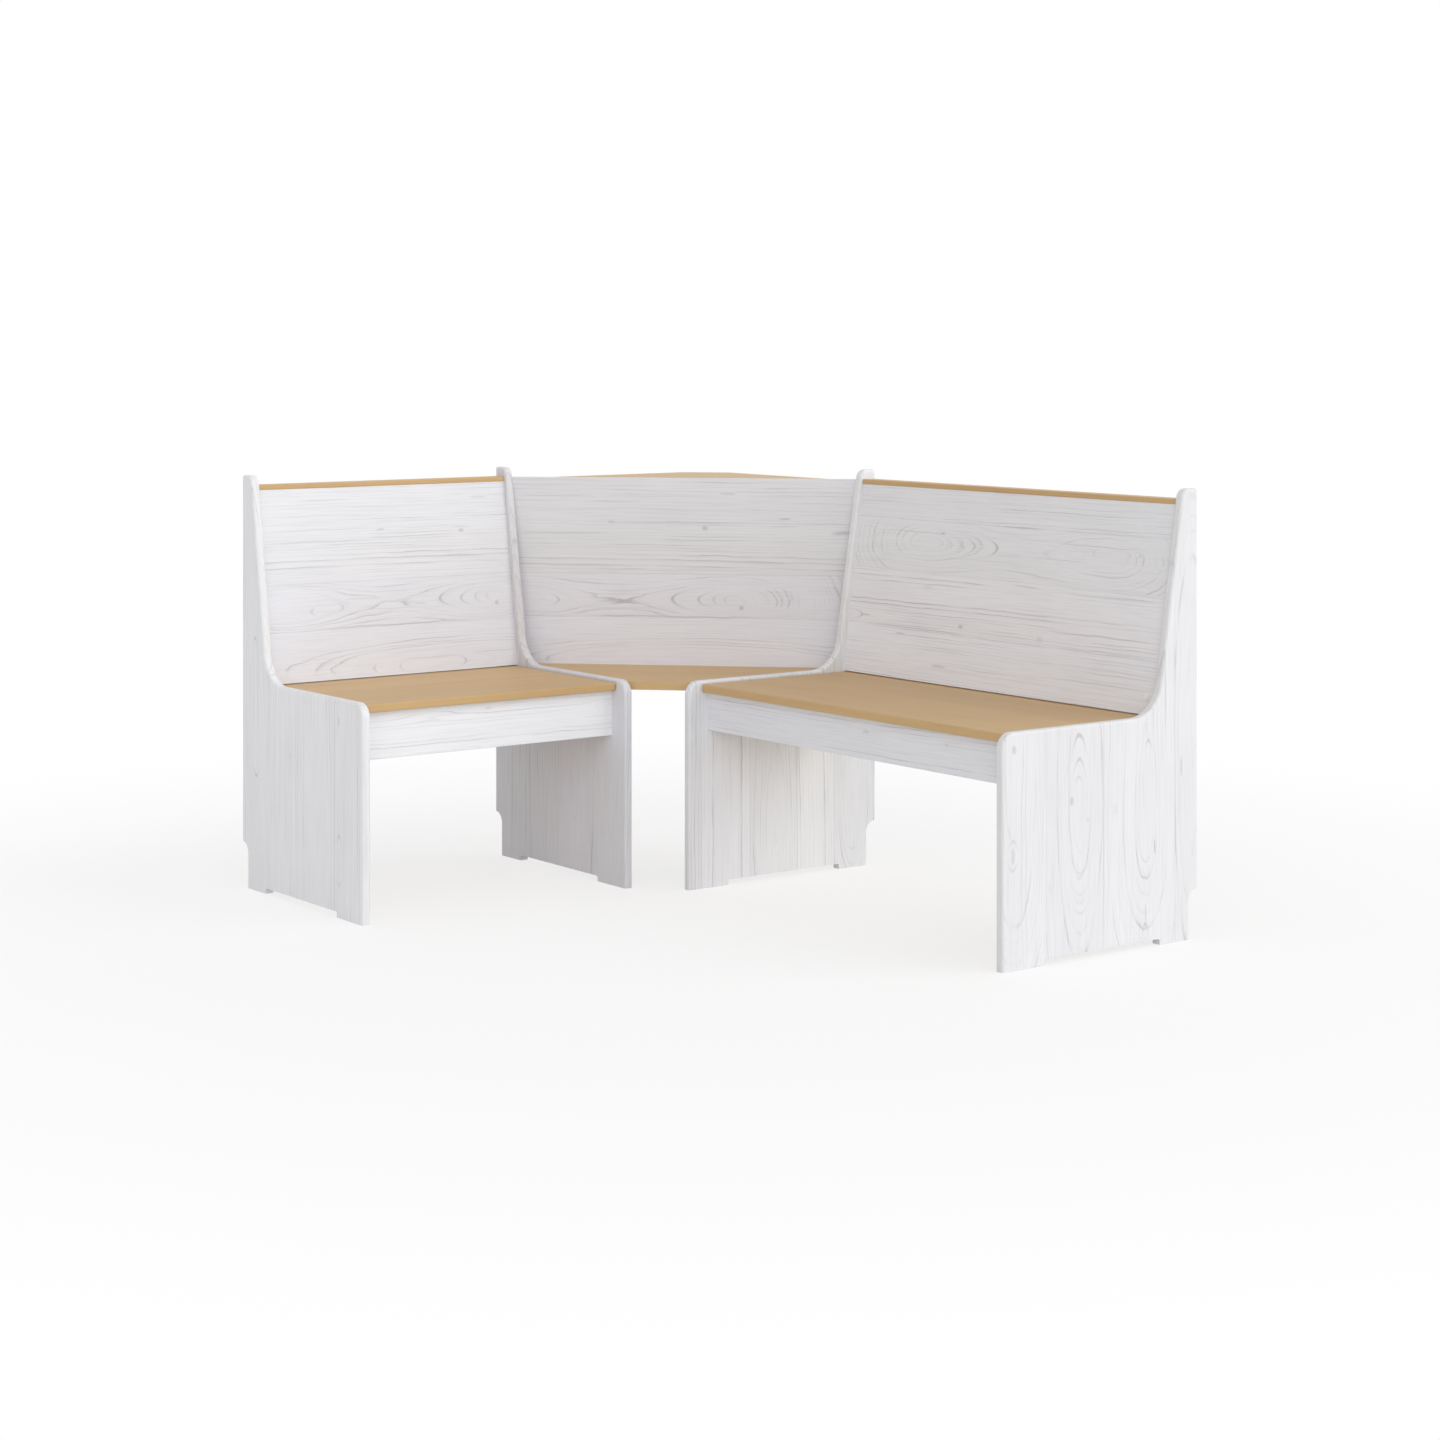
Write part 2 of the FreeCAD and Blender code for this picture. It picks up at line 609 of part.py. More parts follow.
def wing(name, frame, span, apron_height, bay_on_left, hinge_middles, front_cam=None):
    base = f"(seat_base - {apron_height})"
    apron_middle = f"({apron_front} - apron_thickness / 2)"
    rail_middle = f"({rail_back} + rail_thickness / 2)"
    back_heights = [
        f"{back_base} + back_dowel_inset",
        f"({back_base} + {back_top}) / 2",
        f"{back_top} - back_dowel_inset",
    ]
    box_places = [(apron_middle, "seat_base"), (rail_middle, rail_top)]
    places = [(back_middle(z), z) for z in back_heights]
    for depth, top in box_places:
        places += [(depth, f"{base} + dowel_low"), (depth, f"{top} - dowel_high")]
    spots = [spot for depth, z in places for spot in both_ends(span, "dowel_sunk", depth, z)]
    dowels, dowel_holes = fasteners(f"{name}_dowels", frame, dowel, spots)
    node(dowels)

    cam_low = "seat_base + lid_thickness + cam_low_rise"
    cam_high = f"{back_top} - cam_high_drop"
    boards = [
        (back_middle(cam_low), cam_low, "back_lean", "back_thickness", False),
        (back_middle(cam_high), cam_high, "back_lean", "back_thickness", False),
        (apron_middle, f"({base} + dowel_low + seat_base - dowel_high) / 2", "0", "apron_thickness", False),
        (rail_middle, f"({base} + dowel_low + {rail_top} - dowel_high) / 2", "0", "rail_thickness", True),
    ]
    cam_holes = cam_fittings(name, frame, span, boards, front_cam)
    if front_cam:
        place = (f"{span} - cam_setback", boards[0][0], cam_low, "back_lean", "back_thickness / 2")
        cover = disc(*place, "cam_cover_radius", "cam_cover_thickness")
        doc.recompute()
        outer = max(range(2), key=lambda i: -cover.Shape.Edges[2 * i].CenterOfMass.y)
        softened = doc.addObject("Part::Fillet", "softened")
        softened.Base = cover
        size = value("cam_cover_rounding")
        softened.Edges = [(2 * outer + 1, size, size)]
        node(stand(group(f"{name}_cam_cover", [softened]), frame))

    peg_y = "back_thickness / 2 / cos(back_lean) - back_top_depth"
    peg_base = f"{back_top} + peg_in_cap - peg_length"
    peg_places = ("cap_peg_inset", f"{span} / 2", f"{span} - cap_peg_inset")
    peg_spots = [("+z", x, peg_y, peg_base) for x in peg_places]
    pegs, peg_holes = fasteners(f"{name}_cap_pegs", frame, peg, peg_spots)
    node(pegs)

    rail_holes, lid_holes = hinges(name, frame, hinge_middles)
    batten_holes = battens(name, frame, span)
    if bay_on_left:
        bay = bay_fixings(name, frame, "-panel_thickness", "-", "+")
    else:
        bay = bay_fixings(name, frame, f"{span} + panel_thickness", "+", "-")
    side_screws, up_screws, corner_pegs = bay

    left, right = ("inner", "outer") if bay_on_left else ("outer", "inner")
    bay_holes = {"inner": [side_screws[1], corner_pegs[1]], "outer": []}
    for place, start in ((left, "-panel_thickness"), (right, span)):
        panel = side_panel(f"{name}_{place}_panel_board", frame, start)
        drilled(f"{name}_{place}_side_panel", panel, [dowel_holes, cam_holes[0]] + bay_holes[place])
    drilled(f"{name}_backrest", wing_backrest(name, frame, span), [dowel_holes, peg_holes] + cam_holes)
    drilled(f"{name}_top_cap", top_cap(name, frame, span), [peg_holes])
    drilled(f"{name}_seat_lid", seat_lid(name, frame, span), [lid_holes, batten_holes])
    apron, rail = storage_box(name, frame, span, base)
    drilled(f"{name}_apron", apron, [dowel_holes] + cam_holes)
    drilled(f"{name}_rear_rail", rail, [dowel_holes, rail_holes] + cam_holes)
    return bay


# corner: made with the room's diagonal towards -Y and the wall corner at x = y = 0


def corner_backrest_board():
    front, rear = back_front_run, back_rear_run
    corners = [
        (f"{front} - {bay_diagonal}", f"-{front}"),
        (f"{bay_diagonal} - {front}", f"-{front}"),
        (f"{bay_diagonal} - {rear}", f"-{rear}"),
        (f"{rear} - {bay_diagonal}", f"-{rear}"),
    ]
    height = f"{corner_back_top} - {cleat_base}"
    body = board("corner_backrest_board", corner_frame, "XY_Plane", cleat_base, height, corners)
    return body


def corner_seat_board():
    front, rear = seat_front_run, back_front_run
    wide = f"({bay_diagonal} - corner_seat_gap * sqrt(2))"
    corners = [
        (f"{front} - {wide}", f"-{front}"),
        (f"{wide} - {front}", f"-{front}"),
        (f"{wide} - {rear}", f"-{rear}"),
        (f"{rear} - {wide}", f"-{rear}"),
    ]
    height = "corner_seat_thickness"
    return board("corner_seat_board", corner_frame, "XY_Plane", corner_seat_base, height, corners)


def corner_shelf_board():
    front, rear = back_rear_run, "shelf_corner_setback"
    corners = [
        (f"{wall_gap_run} - {front}", f"-{front}"),
        (f"{front} - {wall_gap_run}", f"-{front}"),
        (f"{rear} - {wall_gap_run}", f"-{rear}"),
        (f"{wall_gap_run} - {rear}", f"-{rear}"),
    ]
    return board("corner_shelf_board", corner_frame, "XY_Plane", shelf_base, "shelf_thickness", corners)


def shelf_bracket_board():
    back = back_rear_run
    corners = [
        (f"-{back}", shelf_base),
        (f"bracket_depth - {back}", shelf_base),
        (f"bracket_depth - {back}", f"{shelf_base} - bracket_tip"),
        (f"bracket_tip - {back}", f"{shelf_base} - bracket_height"),
        (f"-{back}", f"{shelf_base} - bracket_height"),
    ]
    start = "-bracket_thickness / 2"
    return board("shelf_bracket_board", corner_frame, "YZ_Plane", start, "bracket_thickness", corners)


def corner(long_bay, short_bay):
    rear_half = f"({bay_diagonal} - {back_front_run} - cleat_size * (1 + sqrt(2)) - cleat_end_gap)"
    rear_place = (f"-{rear_half}", f"-{back_front_run} - cleat_size", cleat_base)
    rear_cleat = bar(*rear_place, f"2 * {rear_half}", "cleat_size", "cleat_size")
    shelf_run = f"({back_rear_run} - cleat_size)"
    shelf_end = f"({shelf_run} - {wall_gap_run} - shelf_cleat_inset)"
    shelf_low = f"({shelf_base} - cleat_size)"
    shelf_length = f"{shelf_end} - bracket_thickness / 2"
    shelf_cleats = [
        bar(x, f"-{back_rear_run}", shelf_low, shelf_length, "cleat_size", "cleat_size")
        for x in (f"-{shelf_end}", "bracket_thickness / 2")
    ]
    middle_z, shelf_z = f"{cleat_base} + cleat_size / 2", f"{shelf_low} + cleat_size / 2"
    rear_face, shelf_face = f"-{back_front_run} - cleat_size", f"-{shelf_run}"
    rear_places = (f"cleat_screw_inset - {rear_half}", "0", f"{rear_half} - cleat_screw_inset")
    level = [("+y", x, rear_face, middle_z) for x in rear_places]
    shelf_places = [
        sign + place
        for sign in "-+"
        for place in (f"({shelf_end} - cleat_screw_inset)", "(bracket_thickness / 2 + cleat_screw_inset)")
    ]
    level += [("-y", x, shelf_face, shelf_z) for x in shelf_places]
    upward = [
        ("+z", x, f"{rear_face} + cleat_size / 2", cleat_base)
        for x in (f"seat_screw_inset - {rear_half}", f"{rear_half} - seat_screw_inset")
    ]
    shelf_upward = [
        ("+z", x, f"{shelf_face} - cleat_size / 2", shelf_low)
        for x in (f"seat_screw_inset - {shelf_end}", f"{shelf_end} - seat_screw_inset")
    ]
    peg_z = [f"{shelf_base} - bracket_peg_inset", f"{shelf_base} - bracket_height + bracket_peg_inset"]
    peg_y = [f"bracket_peg_inset - {back_rear_run}", f"bracket_depth - bracket_peg_inset - {back_rear_run}"]
    peg_spots = [("-y", "0", f"peg_in_panel - {back_rear_run}", z) for z in peg_z]
    peg_spots += [("+z", "0", y, f"{shelf_base} - peg_in_panel") for y in peg_y]
    screws, screw_holes = fasteners("middle_cleat_screws", corner_frame, cleat_screw, level)
    seat_screws, seat_holes = fasteners("middle_seat_screws", corner_frame, cleat_screw, upward)
    shelf_screws, shelf_holes = fasteners("corner_shelf_screws", corner_frame, cleat_screw, shelf_upward)
    pegs, peg_holes = fasteners("bracket_pegs", corner_frame, peg, peg_spots)
    (long_side, _), (long_up, long_up_holes), (long_pegs, long_peg_holes) = long_bay
    (short_side, _), (short_up, short_up_holes), (short_pegs, short_peg_holes) = short_bay
    node(shelf_screws)
    node(group("corner_cleat_screws", [long_side, short_side, screws]))
    node(group("corner_seat_screws", [long_up, short_up, seat_screws]))
    node(group("corner_pegs", [long_pegs, short_pegs, pegs]))
    rear = stand(group("rear_cleat", [rear_cleat]), corner_frame)
    drilled("corner_seat_rear_cleat", rear, [screw_holes, seat_holes])
    cleats = stand(group("shelf_cleats", shelf_cleats), corner_frame)
    drilled("corner_shelf_cleats", cleats, [screw_holes, shelf_holes])
    back_holes = [screw_holes, peg_holes, long_peg_holes, short_peg_holes]
    drilled("corner_backrest", corner_backrest_board(), back_holes)
    drilled("corner_seat", corner_seat_board(), [long_up_holes, short_up_holes, seat_holes])
    drilled("corner_shelf", corner_shelf_board(), [shelf_holes, peg_holes])
    drilled("corner_shelf_bracket", shelf_bracket_board(), [peg_holes])


long_hinges = ["hinge_inset", "long_span / 2", "long_span - hinge_inset"]
short_hinges = ["hinge_inset", "short_span - hinge_inset"]
long_bay = wing("long", long_frame, "long_span", "long_apron_height", True, long_hinges, front_cam=(0, 1))
short_bay = wing("short", short_frame, "short_span", "short_apron_height", False, short_hinges)
corner(long_bay, short_bay)
doc.recompute()

for thing in doc.Objects:
    if "Invalid" in thing.State or "Error" in thing.State:
        raise RuntimeError(f"{thing.Label} failed: {thing.State}")
for thing in nodes:
    if thing.Shape.isNull() or not thing.Shape.isValid() or not thing.Shape.Solids:
        raise RuntimeError(f"{thing.Label} is not a sound solid")

os.makedirs("parts", exist_ok=True)
for thing in nodes:
    thing.Shape.exportStep(f"parts/{thing.Label}.step")
    box = thing.Shape.BoundBox
    print(f"{thing.Label}: {len(thing.Shape.Solids)} solids, {thing.Shape.Volume / 1000:.1f} cm3,", end=" ")
    print(f"{box.XLength:.1f} x {box.YLength:.1f} x {box.ZLength:.1f} mm")
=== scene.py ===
import math

import bpy
import numpy as np
from mathutils import Euler, Matrix, Vector

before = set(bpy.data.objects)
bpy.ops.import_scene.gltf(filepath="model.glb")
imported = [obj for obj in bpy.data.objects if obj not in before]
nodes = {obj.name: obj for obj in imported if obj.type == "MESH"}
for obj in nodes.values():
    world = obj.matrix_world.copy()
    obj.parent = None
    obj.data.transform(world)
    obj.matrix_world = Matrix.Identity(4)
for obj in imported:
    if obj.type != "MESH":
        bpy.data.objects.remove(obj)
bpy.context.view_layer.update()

print("bench loaded:", len(nodes), "nodes")


# camera at the photograph's place, level, looking at the corner from the front
camera = {
    "place": (4.4393, -3.2713, 1.1141),
    "turn": 53.18,
    "lens": 71.36,
    "sensor": 36.0,
    "shiftDown": 0.2678,
}


def placeCamera(view):
    data = bpy.data.cameras.new("camera")
    data.lens = view["lens"]
    data.sensor_width = view["sensor"]
    data.shift_y = -view["shiftDown"]
    data.clip_end = 60
    holder = bpy.data.objects.new("camera", data)
    holder.location = view["place"]
    holder.rotation_euler = Euler((math.pi / 2, 0, math.radians(view["turn"])))
    bpy.context.collection.objects.link(holder)
    bpy.context.scene.camera = holder


placeCamera(camera)


# small helpers for node trees
def addNode(tree, kind, inputs=(), **settings):
    node = tree.nodes.new(kind)
    for name, value in settings.items():
        setattr(node, name, value)
    for socket, value in dict(inputs).items():
        if isinstance(value, bpy.types.NodeSocket):
            tree.links.new(value, node.inputs[socket])
        else:
            node.inputs[socket].default_value = value
    return node


def calc(tree, operation, *values, clamp=False):
    node = addNode(tree, "ShaderNodeMath", dict(enumerate(values)), operation=operation, use_clamp=clamp)
    return node.outputs[0]


def vecCalc(tree, operation, *values, out=0):
    node = addNode(tree, "ShaderNodeVectorMath", dict(enumerate(values)), operation=operation)
    return node.outputs[out]


def fade(tree, value, low, high, lowOut=0.0, highOut=1.0):
    node = addNode(tree, "ShaderNodeMapRange", {
        "Value": value, "From Min": low, "From Max": high, "To Min": lowOut, "To Max": highOut,
    }, interpolation_type="SMOOTHSTEP")
    return node.outputs["Result"]


def blendColour(tree, amount, first, second):
    node = addNode(tree, "ShaderNodeMix", {0: amount, 6: first, 7: second}, data_type="RGBA")
    return node.outputs[2]


def newMaterial(name):
    material = bpy.data.materials.new(name)
    material.use_nodes = True
    material.node_tree.nodes.clear()
    return material, material.node_tree


def newGroup(name, inputs, outputs):
    tree = bpy.data.node_groups.new(name, "ShaderNodeTree")
    for label, kind in inputs:
        tree.interface.new_socket(label, in_out="INPUT", socket_type="NodeSocket" + kind)
    for label, kind in outputs:
        tree.interface.new_socket(label, in_out="OUTPUT", socket_type="NodeSocket" + kind)
    return tree, tree.nodes.new("NodeGroupInput").outputs, tree.nodes.new("NodeGroupOutput").inputs


def useGroup(tree, group, inputs):
    node = tree.nodes.new("ShaderNodeGroup")
    node.node_tree = group
    for socket, value in inputs.items():
        if isinstance(value, bpy.types.NodeSocket):
            tree.links.new(value, node.inputs[socket])
        else:
            node.inputs[socket].default_value = value
    return node.outputs


# one swirl in the grain: a bell-shaped rise of some rings around a centre, longer along the grain
def makeSwirlGroup():
    tree, given, made = newGroup("grainSwirl", [
        ("Position", "Vector"), ("Centre", "Vector"), ("Reach", "Vector"), ("Rings", "Float"),
        ("Before", "Float"),
    ], [("Rings", "Float")])
    away = vecCalc(tree, "SUBTRACT", given["Position"], given["Centre"])
    away = vecCalc(tree, "DIVIDE", away, given["Reach"])
    square = vecCalc(tree, "DOT_PRODUCT", away, away, out=1)
    bell = calc(tree, "EXPONENT", calc(tree, "MULTIPLY", square, -1.0))
    tree.links.new(calc(tree, "MULTIPLY_ADD", bell, given["Rings"], given["Before"]), made["Rings"])
    return tree


# one dark mark in the grain, long and thin for a line, short for a knot, bent across the board for the tip of
# a figure
def makeMarkGroup():
    tree, given, made = newGroup("grainMark", [
        ("Position", "Vector"), ("Centre", "Vector"), ("Reach", "Vector"), ("Strength", "Float"),
        ("Bend", "Float"), ("Before", "Float"),
    ], [("Marks", "Float")])
    away = vecCalc(tree, "SUBTRACT", given["Position"], given["Centre"])
    across = addNode(tree, "ShaderNodeSeparateXYZ", {0: away}).outputs[1]
    bow = calc(tree, "MULTIPLY", calc(tree, "MULTIPLY", across, across), given["Bend"])
    away = vecCalc(tree, "SUBTRACT", away, addNode(tree, "ShaderNodeCombineXYZ", {0: bow}).outputs[0])
    away = vecCalc(tree, "DIVIDE", away, given["Reach"])
    square = addNode(tree, "ShaderNodeSeparateXYZ", {0: vecCalc(tree, "MULTIPLY", away, away)}).outputs
    ends = calc(tree, "MULTIPLY", square[0], square[0])
    bell = calc(tree, "EXPONENT", calc(tree, "MULTIPLY", calc(tree, "ADD", ends, square[1]), -1.0))
    mark = calc(tree, "MULTIPLY", bell, given["Strength"])
    tree.links.new(calc(tree, "MAXIMUM", mark, given["Before"]), made["Marks"])
    return tree


# how the grain is drawn; stretches are 1 / mm along the board, across it and into it, and the pairs are fades from
# the first to the second number
grainLook = {
    "warpStretch": (1 / 420, 1 / 120, 1 / 120),
    "rippleStretch": (1 / 70, 1 / 14, 1 / 14), "ripple": 0.7,
    "patchStretch": (1 / 230, 1 / 30, 1 / 30), "patchEdges": (0.38, 0.66), "patchLeast": 0.10,
    "fibreStretch": (1 / 120, 1 / 2.2, 1 / 2.2), "fibreEdges": (0.44, 0.72),
    "cloudStretch": (1 / 300, 1 / 55, 1 / 55), "cloudEdges": (0.3, 0.7),
    "bunchRate": 0.31,
    "haloRise": (0.35, 0.95), "haloShare": 0.28,
    "coreRise": (0.74, 0.90), "coreShare": 0.72,
    "luckEdges": (0.15, 1.0), "luckLeast": 0.18,
    "heartEdges": (10.0, 40.0), "heartLeast": 0.15,
}


# rings of a tree cut into boards: distance from the heart of the tree, warped a little, divided by the ring
# width. A slow noise stretches and squeezes the count, so that rings come in tight bundles and pale bands
def makeRingGroup():
    tree, given, made = newGroup("growthRings", [
        ("Position", "Vector"), ("Seed", "Float"), ("Heart", "Float"), ("Depth", "Float"),
        ("RingWidth", "Float"), ("Swirl", "Float"), ("Warp", "Float"), ("Bunching", "Float"),
    ], [("Line", "Float"), ("Fibre", "Float"), ("Cloud", "Float")])

    def noiseAt(stretch, shift, detail, rough=0.5):
        spot = vecCalc(tree, "MULTIPLY", given["Position"], stretch)
        seed = calc(tree, "MULTIPLY_ADD", given["Seed"], 7.3, shift)
        second = calc(tree, "MULTIPLY", seed, 1.7)
        joined = addNode(tree, "ShaderNodeCombineXYZ", {0: seed, 1: second, 2: shift})
        spot = vecCalc(tree, "ADD", spot, joined.outputs[0])
        return addNode(tree, "ShaderNodeTexNoise", {
            "Vector": spot, "Scale": 1.0, "Detail": detail, "Roughness": rough,
        }).outputs

    split = addNode(tree, "ShaderNodeSeparateXYZ", {0: given["Position"]}).outputs
    wide = noiseAt(grainLook["warpStretch"], 3.0, 2.0)
    drift = addNode(tree, "ShaderNodeSeparateXYZ", {0: wide["Color"]}).outputs
    sideways = calc(tree, "MULTIPLY", calc(tree, "SUBTRACT", drift[0], 0.5), given["Warp"])
    deeper = calc(tree, "MULTIPLY", calc(tree, "SUBTRACT", drift[1], 0.5), given["Warp"])
    across = calc(tree, "ADD", calc(tree, "SUBTRACT", split[1], given["Heart"]), sideways)
    below = calc(tree, "ADD", calc(tree, "SUBTRACT", given["Depth"], split[2]), deeper)
    square = calc(tree, "MULTIPLY_ADD", across, across, calc(tree, "MULTIPLY", below, below))
    radius = calc(tree, "SQRT", square)
    ripple = noiseAt(grainLook["rippleStretch"], 11.0, 3.0)["Fac"]
    rings = calc(tree, "ADD", calc(tree, "DIVIDE", radius, given["RingWidth"]), given["Swirl"])
    rings = calc(tree, "MULTIPLY_ADD", ripple, grainLook["ripple"], rings)
    slowCount = calc(tree, "MULTIPLY", rings, grainLook["bunchRate"])
    count = calc(tree, "MULTIPLY_ADD", given["Seed"], 3.7, slowCount)
    bunch = addNode(tree, "ShaderNodeTexNoise", {"W": count, "Scale": 1.0, "Detail": 1.0},
                    noise_dimensions="1D").outputs["Fac"]
    rings = calc(tree, "MULTIPLY_ADD", bunch, given["Bunching"], rings)
    part = calc(tree, "FRACT", rings)
    number = calc(tree, "FLOOR", rings)

    # each ring darkens slowly towards its outer edge (halo), most of all just inside it (core), then ends
    def ringProfile(rise):
        return calc(tree, "MULTIPLY", fade(tree, part, *rise), fade(tree, part, rise[1], 1.0, 1.0, 0.0))

    halo = calc(tree, "MULTIPLY", ringProfile(grainLook["haloRise"]), grainLook["haloShare"])
    lateWood = calc(tree, "MULTIPLY_ADD", ringProfile(grainLook["coreRise"]), grainLook["coreShare"], halo)
    ringSeed = calc(tree, "MULTIPLY_ADD", given["Seed"], 31.7, number)
    luck = addNode(tree, "ShaderNodeTexWhiteNoise", {"W": ringSeed}, noise_dimensions="1D").outputs["Value"]
    patch = noiseAt(grainLook["patchStretch"], 23.0, 2.0, 0.6)["Fac"]
    strength = fade(tree, patch, *grainLook["patchEdges"], grainLook["patchLeast"], 1.0)
    ringStrength = fade(tree, luck, *grainLook["luckEdges"], grainLook["luckLeast"], 1.0)
    strength = calc(tree, "MULTIPLY", strength, ringStrength)
    nearHeart = fade(tree, radius, *grainLook["heartEdges"], grainLook["heartLeast"], 1.0)
    strength = calc(tree, "MULTIPLY", strength, nearHeart)
    tree.links.new(calc(tree, "MULTIPLY", lateWood, strength), made["Line"])
    fibre = noiseAt(grainLook["fibreStretch"], 37.0, 3.0, 0.6)["Fac"]
    tree.links.new(fade(tree, fibre, *grainLook["fibreEdges"]), made["Fibre"])
    cloud = noiseAt(grainLook["cloudStretch"], 51.0, 3.0)["Fac"]
    tree.links.new(fade(tree, cloud, *grainLook["cloudEdges"]), made["Cloud"])
    return tree


swirlGroup = makeSwirlGroup()
markGroup = makeMarkGroup()
ringGroup = makeRingGroup()


# finishes: wood colours are linear, amounts say how far grain, fibre and clouds pull towards the grain colour,
# and ring widths are in mm
finishes = {
    "whitewash": {
        "wood": (0.815, 0.815, 0.827), "grain": (0.37, 0.365, 0.385),
        "line": 0.62, "fibre": 0.15, "cloud": 0.05, "mark": 0.74, "seam": 0.22,
        "roughness": 0.52, "relief": 0.22, "ringWidth": 8.0,
    },
    "oakStain": {
        "wood": (0.60, 0.398, 0.188), "grain": (0.40, 0.240, 0.095),
        "line": 0.20, "fibre": 0.14, "cloud": 0.16, "mark": 0.60, "seam": 0.16,
        "roughness": 0.46, "relief": 0.10, "ringWidth": 8.0,
    },
    "barePine": {
        "wood": (0.70, 0.50, 0.29), "grain": (0.50, 0.29, 0.12),
        "line": 0.55, "fibre": 0.20, "cloud": 0.14, "mark": 0.80, "seam": 0.20,
        "roughness": 0.66, "relief": 0.20, "ringWidth": 4.5,
    },
}


# the middle, size and own axes of a board, from its mesh: x along the grain, y across it, z out of the face
def boardAxes(nodeName, along, face):
    mesh = nodes[nodeName].data
    points = np.empty(len(mesh.vertices) * 3)
    mesh.vertices.foreach_get("co", points)
    points = points.reshape(-1, 3)
    normals = np.empty(len(mesh.polygons) * 3)
    mesh.polygons.foreach_get("normal", normals)
    normals = normals.reshape(-1, 3)
    areas = np.empty(len(mesh.polygons))
    mesh.polygons.foreach_get("area", areas)
    looking = normals @ np.array(face, float) > 0.7
    groups, which = np.unique(np.round(normals[looking], 3), axis=0, return_inverse=True)
    total = np.bincount(which.ravel(), weights=areas[looking])
    largest = which.ravel() == total.argmax()
    out = (normals[looking][largest] * areas[looking][largest][:, None]).sum(0)
    out /= np.linalg.norm(out)
    run = np.array(along, float) - out * (np.array(along, float) @ out)
    run /= np.linalg.norm(run)
    side = np.cross(out, run)
    axes = np.stack([run, side, out])
    spread = points @ axes.T
    middle = (spread.min(0) + spread.max(0)) / 2
    half = (spread.max(0) - spread.min(0)) / 2
    return axes, axes.T @ middle, half * 1000


def rampNode(tree, factor, stops):
    node = addNode(tree, "ShaderNodeValToRGB", {0: factor})
    ramp = node.color_ramp
    ramp.interpolation = "CONSTANT"
    while len(ramp.elements) < len(stops):
        ramp.elements.new(0.5)
    while len(ramp.elements) > len(stops):
        ramp.elements.remove(ramp.elements[-1])
    for element, (place, colour) in zip(ramp.elements, stops):
        element.position = max(place, 0.0)
        element.color = colour
    return node.outputs


# a glued-up board's wood. Each stave says where it starts across the board, where the heart of its tree lies,
# how deep that is under the face (at the middle, its slope along the board and its curve) and its own tone, which
# in the listed staves also holds painted light and shade: some staves are made lighter, darker or bluer to stand
# in for how light and the lids' warm bounce fall on them. The ranges bring these numbers into the 0 to 1 of a
# colour ramp
shadeRange, heartRange, depthRange, curveRange = 1.25, 1000.0, 400.0, 0.004


